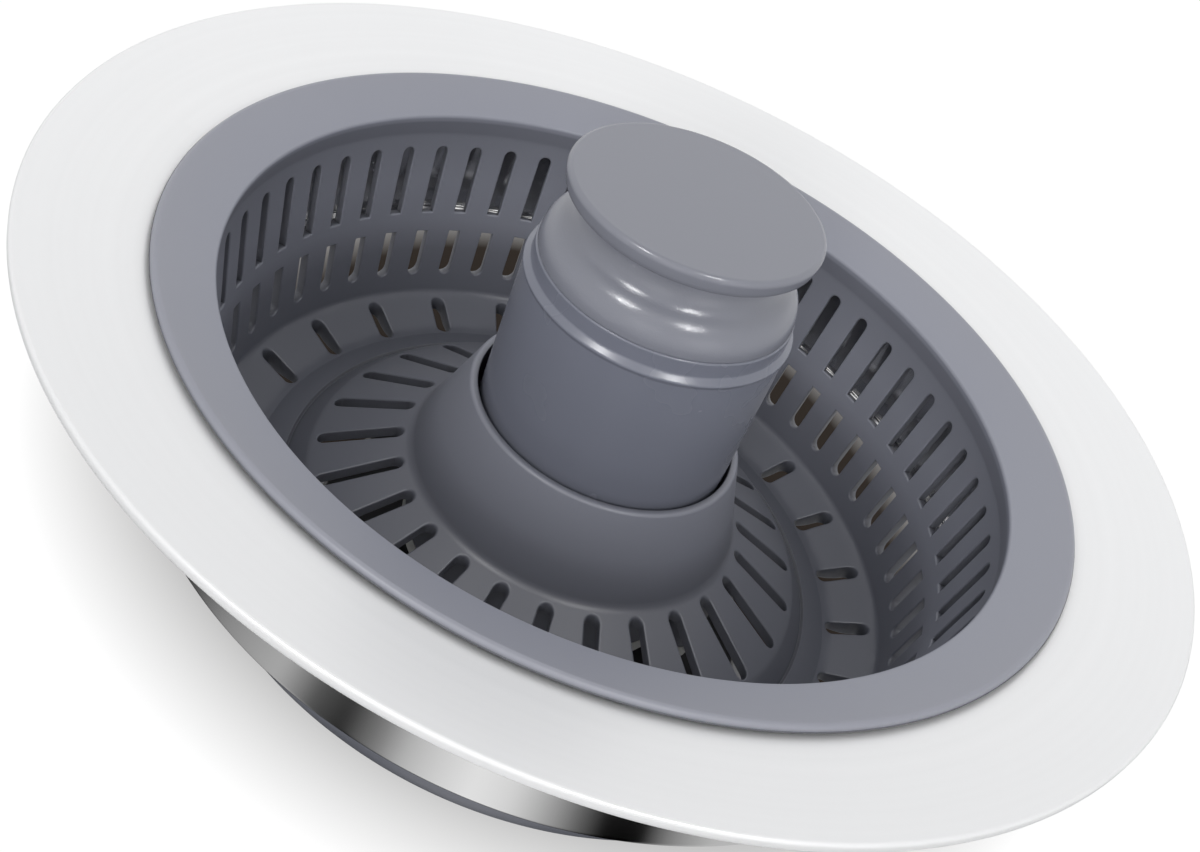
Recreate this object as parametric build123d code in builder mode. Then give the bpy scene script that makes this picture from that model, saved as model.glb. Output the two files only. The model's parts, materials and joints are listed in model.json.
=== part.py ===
from build123d import *
from math import atan2, cos, degrees, pi, radians, sin, sqrt
import os

os.makedirs("parts", exist_ok=True)

# A pop-up sink strainer: a stainless flange with a skirt stands in the sink's drain hole, a moulded
# basket hangs in the flange, and a push post in the basket's middle works a stopper below it.
# Lengths are in millimetres. Z points up along the drain, and z = 0 is the sink's face, on which
# the flange's gasket lies. The stopper is drawn popped up, with the drain open.

# Sizes that drive the whole strainer
skirt_radius = 43.8
skirt_depth = 15.2
flange_width = 11.2
basket_depth = 25.0
post_radius = 12.9
stroke = 9.0
stopper_radius = 27.0

# Clearances and finishes that several pieces share
seat_gap = 0.05
running_gap = 0.05
loose_gap = 0.3
travel_spare = 0.6
overrun = 2.0
edge_round = 0.3

# Stainless flange
sheet = 0.9
dish_rise = 1.44
dish_slope_share = 0.318
bend_inside = 0.4
bend_outside = bend_inside + sheet
lip_width = 2.2

# Gasket under the flange
gasket_offset = 1.3
gasket_inset = 3.5
gasket_groove_width = 1.0
gasket_groove_depth = 0.5
gasket_groove_shares = [0.3, 0.6]

# Strainer basket
wall = 1.2
floor_wall = 1.2
rim_overlap = 0.8
rim_edge = 0.8
rim_round = 0.35
mouth_inset = 3.95
mouth_drop = 2.5
mouth_lip_height = 0.7
mouth_lip_proud = 0.65
wall_draft = 2.7
floor_corner = 4.1
ledge_share = 0.121
band_share = 0.0605
band_rise = 0.85
step_width = 0.25
step_depth = 0.3
knee_share = 0.0457
knee_rise = 2.8
cone_rise = 7.5
collar_height = 9.2
collar_gap = 0.4
collar_lip = 0.75
collar_flare = 3.35
collar_base_round = 1.5
collar_lip_depth = 3.0
collar_wall = 1.6
socket_wall = 1.4
socket_drop = 0.9

# Slots of the basket
wall_slot_count = 56
wall_slot_width = 1.15
wall_slot_turn = 174.07
upper_slot_top_share = 0.1621
upper_slot_share = 0.3282
slot_band_share = 0.0988
lower_slot_share = 0.2293
floor_slot_count = 26
floor_slot_width = 1.5
floor_slot_turn = 150.7
floor_slot_start = 0.1
floor_slot_end = 0.6
ledge_slot_width = 1.7
ledge_slot_turn = 171.2
ledge_slot_start = 0.4
ledge_slot_end = 0.5

# Push sleeve and knob
sleeve_wall = 1.35
sleeve_length = 23.2
band_height = 1.8
band_inset = 0.45
ridge_height = 0.9
ridge_proud = 0.2
knob_wall = 1.5
spigot_wall = 1.2
spigot_length = 3.4
shoulder_rise = 2.2
shoulder_inset = 0.35
shoulder_flare = 0.1
shoulder_round = 3.2
shoulder_hollow = 2.0
neck_rise = 4.2
neck_inset = 3.1
neck_height = 3.5
neck_round = 3.0
waist_round = 1.2
disc_overhang = 2.65
disc_height = 1.9
disc_dish = 0.25
disc_taper = 0.25
disc_edge_round = 0.5
disc_foot_round = 0.8
boss_radius = 4.6
boss_length = 7.0
insert_radius = 3.2
insert_length = 4.4
insert_groove_width = 1.2
insert_groove_depth = 0.4

# Core barrel, which is screwed under the basket's socket
barrel_gap = 1.95
barrel_wall = 1.4
barrel_base = 1.6
register_wall = 1.2
register_rise = 1.5
barrel_top_gap = 0.6
barrel_drain_count = 6
barrel_drain_radius = 0.9
cap_height = 1.6
cap_spigot = 1.5
screw_count = 2
screw_radius = 1.1
screw_head_radius = 1.9
screw_head = 0.9
screw_length = 5.0
screw_tip_spare = 0.5
screw_boss_radius = 2.1
screw_boss_offset = 1.2

# Bush and seal of the rod, in the barrel's base
bush_radius = 4.4
bush_head_radius = 5.8
bush_head = 1.0
bush_tail = 2.4
bush_nut_radius = 6.4
bush_nut_height = 1.8
seal_width = 1.4
seal_groove_radius = 3.5
seal_floor = 0.8

# Push rod and what rides on it
rod_radius = 2.5
thread_radius = 2.0
rod_tail = 0.5
clip_radius = 4.2
clip_height = 0.7
clip_groove = 0.45
clip_mouth = 2.6
follower_gap = 0.4
follower_height = 3.6
follower_turn = 45.0
pin_radius = 1.0
pin_reach = 1.4
pin_seat = 3.0
window_gap = 0.65
wire_radius = 0.45
spring_place_share = 0.617
spring_turns = 6
retainer_inset = 1.0
retainer_height = 0.9
retainer_spigot = 1.2

# Stopper below the basket
stopper_gap = 1.1
stopper_height = 3.4
stopper_wall = 1.4
stopper_inset = 2.6
stopper_hub_radius = 6.0
stopper_rib_count = 6
stopper_rib = 1.2
stopper_lip = 1.1
stopper_lip_drop = 1.6
clamp_radius = 8.5
clamp_height = 1.0
stopper_nut_radius = 4.2
stopper_nut_height = 3.2


def dish(radius):
    """Height of the flange's upper face at a radius."""
    return dish_rise + (radius - skirt_radius) * dish_slope_share


# Heights and radii that follow from the sizes above, from the flange down to the basket's floor
flange_radius = skirt_radius + flange_width
flange_rise = dish(flange_radius)
skirt_inside = skirt_radius - sheet
sheet_drop = sheet * sqrt(1 + dish_slope_share**2)
gasket_inside = skirt_radius + gasket_offset
gasket_radius = flange_radius - gasket_inset
rim_radius = skirt_radius + rim_overlap
rim_foot = dish(rim_radius) + loose_gap
rim_top = rim_foot + rim_edge
mouth_radius = skirt_inside - mouth_inset
mouth_z = rim_top - mouth_drop
wall_top_radius = mouth_radius + mouth_lip_proud
wall_top_z = mouth_z - mouth_lip_height - mouth_lip_proud
wall_foot_radius = wall_top_radius - wall_draft
ledge_z = -basket_depth
band_radius = wall_foot_radius - skirt_radius * ledge_share
band_z = ledge_z + band_rise
step_radius = band_radius - skirt_radius * band_share
knee_radius = step_radius - step_width - skirt_radius * knee_share
knee_z = ledge_z + knee_rise
cone_top_z = ledge_z + cone_rise
collar_top_z = cone_top_z + collar_height
bore_radius = post_radius + collar_gap
collar_top_radius = bore_radius + collar_lip
collar_base_radius = collar_top_radius + collar_flare
socket_z = ledge_z - socket_drop
socket_inside = collar_base_radius - collar_wall - socket_wall
socket_outside = socket_inside + socket_wall
cone_slope_share = (cone_top_z - knee_z) / (knee_radius - collar_base_radius)
cone_drop = floor_wall * sqrt(1 + cone_slope_share**2)
wall_height = mouth_z - ledge_z
upper_slot_length = wall_height * upper_slot_share
lower_slot_length = wall_height * lower_slot_share
upper_slot_z = mouth_z - wall_height * upper_slot_top_share
lower_slot_z = upper_slot_z - upper_slot_length - wall_height * slot_band_share
floor_slot_inside = collar_base_radius + floor_slot_start
floor_slot_outside = knee_radius - floor_slot_end
ledge_slot_inside = band_radius + ledge_slot_start
ledge_slot_outside = wall_foot_radius - ledge_slot_end

# Those of the sleeve and the knob
sleeve_inside = post_radius - sleeve_wall
sleeve_foot = socket_z + register_rise + travel_spare + stroke
sleeve_top = sleeve_foot + sleeve_length
ridge_z = sleeve_top - band_height
spigot_radius = sleeve_inside - seat_gap
shoulder_foot_radius = post_radius - band_inset - shoulder_inset / 2
shoulder_z = sleeve_top + shoulder_rise
neck_radius = shoulder_foot_radius - neck_inset
neck_z = sleeve_top + neck_rise
knob_radius = neck_radius + disc_overhang
knob_foot = neck_z + neck_height
knob_top = knob_foot + disc_height
boss_foot = knob_top - boss_length
boss_roof = knob_top - disc_dish - knob_wall

# Those of the core, from its cap down to the stopper's nut
barrel_radius = sleeve_inside - barrel_gap
barrel_inside = barrel_radius - barrel_wall
base_foot = socket_z - barrel_base
cap_top = boss_foot - stroke - barrel_top_gap
barrel_top = cap_top - cap_height
screw_circle = socket_outside + screw_boss_offset
screw_angle = floor_slot_turn + 180 / floor_slot_count
bush_foot = base_foot - bush_tail
guide_radius = rod_radius + running_gap
groove_radius = rod_radius - clip_groove
follower_radius = barrel_inside - follower_gap
retainer_radius = barrel_inside - retainer_inset
spring_radius = rod_radius + (retainer_radius - rod_radius) * spring_place_share
upper_clip_z = barrel_top - cap_spigot - loose_gap - clip_height
follower_z = upper_clip_z - running_gap - follower_height
pin_z = follower_z + follower_height / 2
lower_clip_z = follower_z - running_gap - clip_height
retainer_z = lower_clip_z - seat_gap - retainer_height
spring_foot = socket_z + bush_head + seat_gap + wire_radius
spring_height = retainer_z - seat_gap - wire_radius - spring_foot
spring_pitch = spring_height / spring_turns
plate_radius = stopper_radius - stopper_inset
plate_top = bush_foot - stopper_gap
plate_foot = plate_top - stopper_height
seal_foot = plate_foot - stopper_lip
clamp_foot = seal_foot - clamp_height
nut_foot = clamp_foot - stopper_nut_height
bolt_hole = thread_radius + seat_gap

# Flange: one ring pressed from stainless sheet, dished towards the basket and drawn down into the
# skirt, whose lower edge is turned inwards.
with BuildPart() as drain_flange:
    with BuildSketch(Plane.XZ):
        with BuildLine():
            FilletPolyline(
                (flange_radius, flange_rise),
                (skirt_inside, dish(skirt_inside)),
                (skirt_inside, sheet - skirt_depth),
                (skirt_radius - lip_width, sheet - skirt_depth),
                (skirt_radius - lip_width, -skirt_depth),
                (skirt_radius, -skirt_depth),
                (skirt_radius, dish(skirt_radius) - sheet_drop),
                (flange_radius, flange_rise - sheet_drop),
                radius=[
                    edge_round, bend_outside, edge_round, edge_round,
                    edge_round, edge_round + sheet, bend_inside, edge_round,
                ],
                close=True,
            )
        make_face()
    revolve(axis=Axis.Z)
drain_flange.part.label = "drain_flange"
export_step(drain_flange.part, "parts/drain_flange.step")

# Gasket: a silicone ring between the flange and the sink, grooved on its lower face.
gasket_width = gasket_radius - gasket_inside
with BuildPart() as flange_gasket:
    with BuildSketch(Plane.XZ):
        with BuildLine():
            Polyline(
                (gasket_inside, 0),
                (gasket_radius, 0),
                (gasket_radius, dish(gasket_radius) - sheet_drop),
                (gasket_inside, dish(gasket_inside) - sheet_drop),
                close=True,
            )
        make_face()
        for share in gasket_groove_shares:
            with Locations((gasket_inside + gasket_width * share, 0)):
                Rectangle(
                    gasket_groove_width, gasket_groove_depth,
                    align=(Align.MIN, Align.MIN), mode=Mode.SUBTRACT,
                )
    revolve(axis=Axis.Z)
flange_gasket.part.label = "flange_gasket"
export_step(flange_gasket.part, "parts/flange_gasket.step")


def slot_outline(top, length, round_top):
    """Draw a wall slot's outline, rounded at one end and square at the other."""
    half = wall_slot_width / 2
    flat_end = top - length if round_top else top
    round_start = top - half if round_top else top - length + half
    round_tip = top if round_top else top - length
    Polyline((-half, round_start), (-half, flat_end), (half, flat_end), (half, round_start))
    ThreePointArc((half, round_start), (0, round_tip), (-half, round_start))


# Cutters for the basket's slots. Wall slots are cut outwards along X, and the others straight down.
with BuildPart() as wall_slot_cutter:
    for slot_z, slot_length, is_upper in (
        (upper_slot_z, upper_slot_length, True),
        (lower_slot_z, lower_slot_length, False),
    ):
        with BuildSketch(Plane.YZ.offset(wall_foot_radius - overrun)):
            with BuildLine():
                slot_outline(slot_z, slot_length, is_upper)
            make_face()
        extrude(amount=wall_draft + wall + 2 * overrun)

with BuildPart() as floor_slot_cutter:
    with BuildSketch(Plane.XY.offset(ledge_z - overrun)):
        with Locations(((floor_slot_inside + floor_slot_outside) / 2, 0)):
            SlotOverall(floor_slot_outside - floor_slot_inside, floor_slot_width)
    extrude(amount=cone_rise + 2 * overrun)

with BuildPart() as ledge_slot_cutter:
    with BuildSketch(Plane.XY.offset(ledge_z - floor_wall - overrun)):
        with Locations(((ledge_slot_inside + ledge_slot_outside) / 2, 0)):
            SlotOverall(ledge_slot_outside - ledge_slot_inside, ledge_slot_width)
    extrude(amount=floor_corner + floor_wall + overrun)

# Basket: one moulding. Its rim lies on the flange, its drafted wall has two rows of slots, and its
# floor is a flat ring and a cone that rises to the collar round the post. The socket below the
# collar and its two bosses take the core barrel.
socket_joint_z = cone_top_z + (collar_base_radius - socket_outside) * cone_slope_share - cone_drop
boss_edge = screw_circle + screw_boss_radius
screw_boss_top = cone_top_z - (boss_edge - collar_base_radius) * cone_slope_share - cone_drop / 2
with BuildPart() as strainer_basket:
    with BuildSketch(Plane.XZ):
        with BuildLine():
            FilletPolyline(
                (rim_radius, rim_top),
                (mouth_radius, mouth_z),
                (mouth_radius, mouth_z - mouth_lip_height),
                (wall_top_radius, wall_top_z),
                (wall_foot_radius, ledge_z),
                (band_radius, ledge_z),
                (step_radius, band_z),
                (step_radius - step_width, band_z - step_depth),
                (knee_radius, knee_z),
                (collar_base_radius, cone_top_z),
                (collar_top_radius, collar_top_z),
                (bore_radius, collar_top_z),
                (bore_radius, collar_top_z - collar_lip_depth),
                (socket_inside, cone_top_z),
                (socket_inside, socket_z),
                (socket_outside, socket_z),
                (socket_outside, socket_joint_z),
                (knee_radius, knee_z - cone_drop),
                (band_radius, ledge_z - floor_wall),
                (wall_foot_radius + wall, ledge_z - floor_wall),
                (wall_top_radius + wall, wall_top_z),
                (skirt_inside, dish(skirt_inside) + loose_gap),
                (rim_radius, rim_foot),
                radius=[
                    rim_round, edge_round, edge_round, 0, floor_corner, 0, 0, 0, 0,
                    collar_base_round, edge_round, 0, 0, 0, 0, 0, 0, 0, 0,
                    floor_corner + wall, 0, 0, rim_round,
                ],
                close=True,
            )
        make_face()
    revolve(axis=Axis.Z)
    with BuildSketch(Plane.XY.offset(socket_z)):
        with PolarLocations(screw_circle, screw_count, start_angle=screw_angle):
            Circle(screw_boss_radius)
    extrude(amount=screw_boss_top - socket_z)
    with BuildSketch(Plane.XY.offset(socket_z)):
        with PolarLocations(screw_circle, screw_count, start_angle=screw_angle):
            Circle(screw_radius + seat_gap)
    extrude(amount=screw_length - barrel_base + screw_tip_spare, mode=Mode.SUBTRACT)
    with PolarLocations(0, wall_slot_count, start_angle=wall_slot_turn):
        add(wall_slot_cutter.part, mode=Mode.SUBTRACT)
    with PolarLocations(0, floor_slot_count, start_angle=floor_slot_turn):
        add(floor_slot_cutter.part, mode=Mode.SUBTRACT)
    with PolarLocations(0, floor_slot_count, start_angle=ledge_slot_turn):
        add(ledge_slot_cutter.part, mode=Mode.SUBTRACT)
strainer_basket.part.label = "strainer_basket"
export_step(strainer_basket.part, "parts/strainer_basket.step")

# Core barrel: a tube that stands in the socket on a flanged base. Two slanted windows in its wall
# guide the turning follower's pins, and small holes let water out of the socket.
window_radius = pin_radius + window_gap
window_half = (barrel_radius + barrel_inside) / 2 * sin(radians(follower_turn / 2))
window_tilt = degrees(atan2(stroke, 2 * window_half))
window_length = sqrt(stroke**2 + (2 * window_half) ** 2)
register_radius = socket_inside - seat_gap
drain_circle = (register_radius - register_wall + barrel_radius) / 2
with BuildPart() as core_barrel:
    with BuildSketch(Plane.XZ):
        with BuildLine():
            Polyline(
                (bush_radius + seat_gap, base_foot),
                (socket_outside, base_foot),
                (socket_outside, socket_z),
                (register_radius, socket_z),
                (register_radius, socket_z + register_rise),
                (register_radius - register_wall, socket_z + register_rise),
                (register_radius - register_wall, socket_z),
                (barrel_radius, socket_z),
                (barrel_radius, barrel_top),
                (barrel_inside, barrel_top),
                (barrel_inside, socket_z),
                (bush_radius + seat_gap, socket_z),
                close=True,
            )
        make_face()
    revolve(axis=Axis.Z)
    with BuildSketch(Plane.XY.offset(base_foot)):
        with PolarLocations(screw_circle, screw_count, start_angle=screw_angle):
            Circle(screw_boss_radius)
    extrude(amount=barrel_base)
    with BuildSketch(Plane.XY.offset(base_foot)):
        with PolarLocations(screw_circle, screw_count, start_angle=screw_angle):
            Circle(screw_radius + seat_gap)
        with PolarLocations(drain_circle, barrel_drain_count):
            Circle(barrel_drain_radius)
    extrude(amount=barrel_base, mode=Mode.SUBTRACT)
    for side in (0, 180):
        window_plane = Plane.YZ.rotated((0, 0, follower_turn / 2 + side))
        with BuildSketch(window_plane):
            with Locations((0, pin_z - stroke / 2)):
                SlotCenterToCenter(window_length, 2 * window_radius, rotation=-window_tilt)
        extrude(amount=barrel_radius + overrun, mode=Mode.SUBTRACT)
core_barrel.part.label = "core_barrel"
export_step(core_barrel.part, "parts/core_barrel.step")

# Screws: two pan heads that hold the barrel's base under the socket.
with BuildPart() as barrel_screws:
    with BuildSketch(Plane.XY.offset(base_foot - screw_head)):
        with PolarLocations(screw_circle, screw_count, start_angle=screw_angle):
            Circle(screw_head_radius)
    extrude(amount=screw_head)
    fillet(barrel_screws.edges().group_by(Axis.Z)[0], radius=edge_round)
    with BuildSketch(Plane.XY.offset(base_foot)):
        with PolarLocations(screw_circle, screw_count, start_angle=screw_angle):
            Circle(screw_radius)
    extrude(amount=screw_length)
barrel_screws.part.label = "barrel_screws"
export_step(barrel_screws.part, "parts/barrel_screws.step")

# Barrel cap: pressed into the barrel's top, it guides the rod and stops it at the top of its way.
with BuildPart() as barrel_cap:
    with BuildSketch(Plane.XZ):
        with BuildLine():
            FilletPolyline(
                (guide_radius, barrel_top - cap_spigot),
                (barrel_inside - seat_gap, barrel_top - cap_spigot),
                (barrel_inside - seat_gap, barrel_top),
                (barrel_radius, barrel_top),
                (barrel_radius, cap_top),
                (guide_radius, cap_top),
                radius=[0, edge_round, 0, 0, edge_round, 0],
                close=True,
            )
        make_face()
    revolve(axis=Axis.Z)
barrel_cap.part.label = "barrel_cap"
export_step(barrel_cap.part, "parts/barrel_cap.step")

# Rod bush: a headed sleeve through the barrel's base, with an inner groove for the rod's seal.
with BuildPart() as rod_bush:
    with BuildSketch(Plane.XZ):
        with BuildLine():
            Polyline(
                (guide_radius, socket_z + bush_head),
                (bush_head_radius, socket_z + bush_head),
                (bush_head_radius, socket_z),
                (bush_radius, socket_z),
                (bush_radius, bush_foot),
                (guide_radius, bush_foot),
                (guide_radius, bush_foot + seal_floor),
                (seal_groove_radius, bush_foot + seal_floor),
                (seal_groove_radius, bush_foot + seal_floor + seal_width),
                (guide_radius, bush_foot + seal_floor + seal_width),
                close=True,
            )
        make_face()
    revolve(axis=Axis.Z)
rod_bush.part.label = "rod_bush"
export_step(rod_bush.part, "parts/rod_bush.step")

# Rod seal: a ring of round section in the bush's groove.
seal_round = (seal_groove_radius - rod_radius) / 2 - seat_gap
with BuildPart() as rod_seal:
    with BuildSketch(Plane.XZ):
        with Locations((rod_radius + seat_gap + seal_round, bush_foot + seal_floor + seal_width / 2)):
            Circle(seal_round)
    revolve(axis=Axis.Z)
rod_seal.part.label = "rod_seal"
export_step(rod_seal.part, "parts/rod_seal.step")

# Bush nut: a thin hexagon that clamps the bush to the base.
with BuildPart() as bush_nut:
    with BuildSketch(Plane.XY.offset(base_foot - bush_nut_height)):
        RegularPolygon(bush_nut_radius, 6)
        Circle(bush_radius + seat_gap, mode=Mode.SUBTRACT)
    extrude(amount=bush_nut_height)
bush_nut.part.label = "bush_nut"
export_step(bush_nut.part, "parts/bush_nut.step")

# Push sleeve: the post's outer tube, with a raised ridge and a narrower band above it.
with BuildPart() as push_sleeve:
    with BuildSketch(Plane.XZ):
        with BuildLine():
            FilletPolyline(
                (sleeve_inside, sleeve_foot),
                (post_radius, sleeve_foot),
                (post_radius, ridge_z - ridge_height),
                (post_radius + ridge_proud, ridge_z - ridge_height / 2),
                (post_radius + ridge_proud, ridge_z),
                (post_radius - band_inset, ridge_z + ridge_height / 2),
                (post_radius - band_inset, sleeve_top),
                (sleeve_inside, sleeve_top),
                radius=[0, edge_round, 0, 0, edge_round, edge_round, edge_round, 0],
                close=True,
            )
        make_face()
    revolve(axis=Axis.Z)
push_sleeve.part.label = "push_sleeve"
export_step(push_sleeve.part, "parts/push_sleeve.step")

# Knob: a hollow moulding with a dished finger disc, a waist and a rounded shoulder. Its spigot is
# pressed into the sleeve, and its inner boss holds the threaded insert.
boss_hole = insert_radius + seat_gap
with BuildPart() as knob_cap:
    with BuildSketch(Plane.XZ):
        with BuildLine():
            FilletPolyline(
                (0, knob_top - disc_dish),
                (knob_radius, knob_top),
                (knob_radius - disc_taper, knob_foot),
                (neck_radius, knob_foot),
                (neck_radius, neck_z),
                (shoulder_foot_radius + shoulder_flare, shoulder_z),
                (shoulder_foot_radius, sleeve_top),
                (spigot_radius, sleeve_top),
                (spigot_radius, sleeve_top - spigot_length),
                (spigot_radius - spigot_wall, sleeve_top - spigot_length),
                (spigot_radius - spigot_wall, sleeve_top + shoulder_hollow),
                (neck_radius - knob_wall, sleeve_top + shoulder_hollow),
                (neck_radius - knob_wall, boss_roof),
                (boss_radius, boss_roof),
                (boss_radius, boss_foot),
                (boss_hole, boss_foot),
                (boss_hole, boss_foot + insert_length),
                (0, boss_foot + insert_length),
                radius=[
                    0, disc_edge_round, disc_foot_round, waist_round, neck_round, shoulder_round,
                    edge_round, 0, edge_round, 0, edge_round, 0, edge_round, edge_round,
                    0, 0, 0, 0,
                ],
                close=True,
            )
        make_face()
    revolve(axis=Axis.Z)
knob_cap.part.label = "knob_cap"
export_step(knob_cap.part, "parts/knob_cap.step")

# Knob insert: a brass bush with an outer groove, moulded into the knob's boss.
insert_middle = boss_foot + insert_length / 2
with BuildPart() as knob_insert:
    with BuildSketch(Plane.XZ):
        with BuildLine():
            Polyline(
                (bolt_hole, boss_foot),
                (insert_radius, boss_foot),
                (insert_radius, insert_middle - insert_groove_width / 2),
                (insert_radius - insert_groove_depth, insert_middle - insert_groove_width / 2),
                (insert_radius - insert_groove_depth, insert_middle + insert_groove_width / 2),
                (insert_radius, insert_middle + insert_groove_width / 2),
                (insert_radius, boss_foot + insert_length),
                (bolt_hole, boss_foot + insert_length),
                close=True,
            )
        make_face()
    revolve(axis=Axis.Z)
knob_insert.part.label = "knob_insert"
export_step(knob_insert.part, "parts/knob_insert.step")

# Push rod: a steel rod with a threaded end at each side and two grooves for its clips.
with BuildPart() as push_rod:
    with BuildSketch(Plane.XZ):
        with BuildLine():
            Polyline(
                (0, nut_foot - rod_tail),
                (thread_radius, nut_foot - rod_tail),
                (thread_radius, plate_top),
                (rod_radius, plate_top),
                (rod_radius, boss_foot),
                (thread_radius, boss_foot),
                (thread_radius, boss_foot + insert_length),
                (0, boss_foot + insert_length),
                close=True,
            )
        make_face()
        for clip_z in (upper_clip_z, lower_clip_z):
            with Locations((groove_radius, clip_z)):
                Rectangle(
                    clip_groove + overrun, clip_height,
                    align=(Align.MIN, Align.MIN), mode=Mode.SUBTRACT,
                )
    revolve(axis=Axis.Z)
push_rod.part.label = "push_rod"
export_step(push_rod.part, "parts/push_rod.step")

# Rod clips: two open rings in the rod's grooves, above and below the follower.
with BuildPart() as rod_clips:
    for clip_z in (upper_clip_z, lower_clip_z):
        with BuildSketch(Plane.XY.offset(clip_z)):
            Circle(clip_radius)
            Circle(groove_radius + seat_gap, mode=Mode.SUBTRACT)
            Rectangle(
                clip_radius + overrun, clip_mouth,
                align=(Align.MIN, Align.CENTER), mode=Mode.SUBTRACT,
            )
        extrude(amount=clip_height)
rod_clips.part.label = "rod_clips"
export_step(rod_clips.part, "parts/rod_clips.step")

# Spring retainer: a washer that hangs below the lower clip and centres the spring's upper end.
with BuildPart() as spring_retainer:
    with BuildSketch(Plane.XZ):
        with BuildLine():
            FilletPolyline(
                (rod_radius + seat_gap, retainer_z + retainer_height),
                (retainer_radius, retainer_z + retainer_height),
                (retainer_radius, retainer_z),
                (spring_radius - wire_radius - loose_gap, retainer_z),
                (spring_radius - wire_radius - loose_gap, retainer_z - retainer_spigot),
                (rod_radius + seat_gap, retainer_z - retainer_spigot),
                radius=[0, edge_round, edge_round, 0, edge_round, 0],
                close=True,
            )
        make_face()
    revolve(axis=Axis.Z)
spring_retainer.part.label = "spring_retainer"
export_step(spring_retainer.part, "parts/spring_retainer.step")

# Return spring: one wire wound from the bush's head up to the retainer.
with BuildPart() as return_spring:
    with BuildLine() as spring_path:
        Helix(
            pitch=spring_pitch, height=spring_height, radius=spring_radius,
            center=(0, 0, spring_foot),
        )
    with BuildSketch(Plane(origin=spring_path.line @ 0, z_dir=spring_path.line % 0)):
        Circle(wire_radius)
    sweep(path=spring_path.line)
return_spring.part.label = "return_spring"
export_step(return_spring.part, "parts/return_spring.step")

# The wound wire's least gap to itself, measured on points one turn or more apart
steps_per_turn = 36
coil = []
for step in range(spring_turns * steps_per_turn + 1):
    turn = 2 * pi * step / steps_per_turn
    rise = spring_pitch * step / steps_per_turn
    coil.append((spring_radius * cos(turn), spring_radius * sin(turn), rise))
coil_gap = spring_height
for first in range(len(coil)):
    for second in range(first + steps_per_turn // 2, len(coil)):
        apart = sqrt(sum((a - b) ** 2 for a, b in zip(coil[first], coil[second])))
        coil_gap = min(coil_gap, apart - 2 * wire_radius)
print("least gap between the spring's turns", round(coil_gap, 3))

# Follower: a ring that turns on the rod between the clips, as its pins follow the windows.
with BuildPart() as cam_follower:
    with BuildSketch(Plane.XZ):
        with BuildLine():
            FilletPolyline(
                (guide_radius, follower_z),
                (follower_radius, follower_z),
                (follower_radius, follower_z + follower_height),
                (guide_radius, follower_z + follower_height),
                radius=[0, edge_round, edge_round, 0],
                close=True,
            )
        make_face()
    revolve(axis=Axis.Z)
    with BuildSketch(Plane.YZ.offset(follower_radius - pin_seat)):
        with Locations((0, pin_z)):
            Circle(pin_radius + seat_gap)
    extrude(amount=pin_seat + overrun, mode=Mode.SUBTRACT)
    with BuildSketch(Plane.YZ.offset(pin_seat - follower_radius)):
        with Locations((0, pin_z)):
            Circle(pin_radius + seat_gap)
    extrude(amount=-pin_seat - overrun, mode=Mode.SUBTRACT)
cam_follower.part.label = "cam_follower"
export_step(cam_follower.part, "parts/cam_follower.step")

# Follower pins: two steel pins pressed into the follower, whose ends run in the windows.
with BuildPart() as follower_pins:
    with BuildSketch(Plane.YZ.offset(follower_radius - pin_seat)):
        with Locations((0, pin_z)):
            Circle(pin_radius)
    extrude(amount=pin_seat + pin_reach)
    with BuildSketch(Plane.YZ.offset(pin_seat - follower_radius)):
        with Locations((0, pin_z)):
            Circle(pin_radius)
    extrude(amount=-pin_seat - pin_reach)
follower_pins.part.label = "follower_pins"
export_step(follower_pins.part, "parts/follower_pins.step")

# Stopper plate: a ribbed moulding whose hub is clamped against the rod's lower shoulder.
with BuildPart() as stopper_plate:
    with BuildSketch(Plane.XZ):
        with BuildLine():
            FilletPolyline(
                (bolt_hole, plate_top),
                (plate_radius, plate_top),
                (plate_radius, plate_foot),
                (plate_radius - stopper_wall, plate_foot),
                (plate_radius - stopper_wall, plate_top - stopper_wall),
                (stopper_hub_radius, plate_top - stopper_wall),
                (stopper_hub_radius, plate_foot),
                (bolt_hole, plate_foot),
                radius=[0, stopper_wall / 2, 0, 0, 0, 0, 0, 0],
                close=True,
            )
        make_face()
    revolve(axis=Axis.Z)
    rib_start = stopper_hub_radius - stopper_wall / 2
    rib_end = plate_radius - stopper_wall / 2
    with BuildSketch(Plane.XY.offset(plate_foot)):
        with PolarLocations((rib_start + rib_end) / 2, stopper_rib_count):
            Rectangle(rib_end - rib_start, stopper_rib)
    extrude(amount=stopper_height - stopper_wall / 2)
stopper_plate.part.label = "stopper_plate"
export_step(stopper_plate.part, "parts/stopper_plate.step")

# Stopper seal: a silicone disc under the plate, with a drooping lip that meets the outlet's seat.
with BuildPart() as stopper_seal:
    with BuildSketch(Plane.XZ):
        with BuildLine():
            FilletPolyline(
                (bolt_hole, plate_foot),
                (plate_radius, plate_foot),
                (stopper_radius, plate_foot - stopper_lip_drop),
                (stopper_radius, seal_foot - stopper_lip_drop),
                (plate_radius - stopper_wall, seal_foot),
                (bolt_hole, seal_foot),
                radius=[0, 0, edge_round, edge_round, edge_round, 0],
                close=True,
            )
        make_face()
    revolve(axis=Axis.Z)
stopper_seal.part.label = "stopper_seal"
export_step(stopper_seal.part, "parts/stopper_seal.step")

# Seal clamp: a steel washer under the seal.
with BuildPart() as seal_clamp:
    with BuildSketch(Plane.XY.offset(clamp_foot)):
        Circle(clamp_radius)
        Circle(bolt_hole, mode=Mode.SUBTRACT)
    extrude(amount=clamp_height)
seal_clamp.part.label = "seal_clamp"
export_step(seal_clamp.part, "parts/seal_clamp.step")

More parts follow.
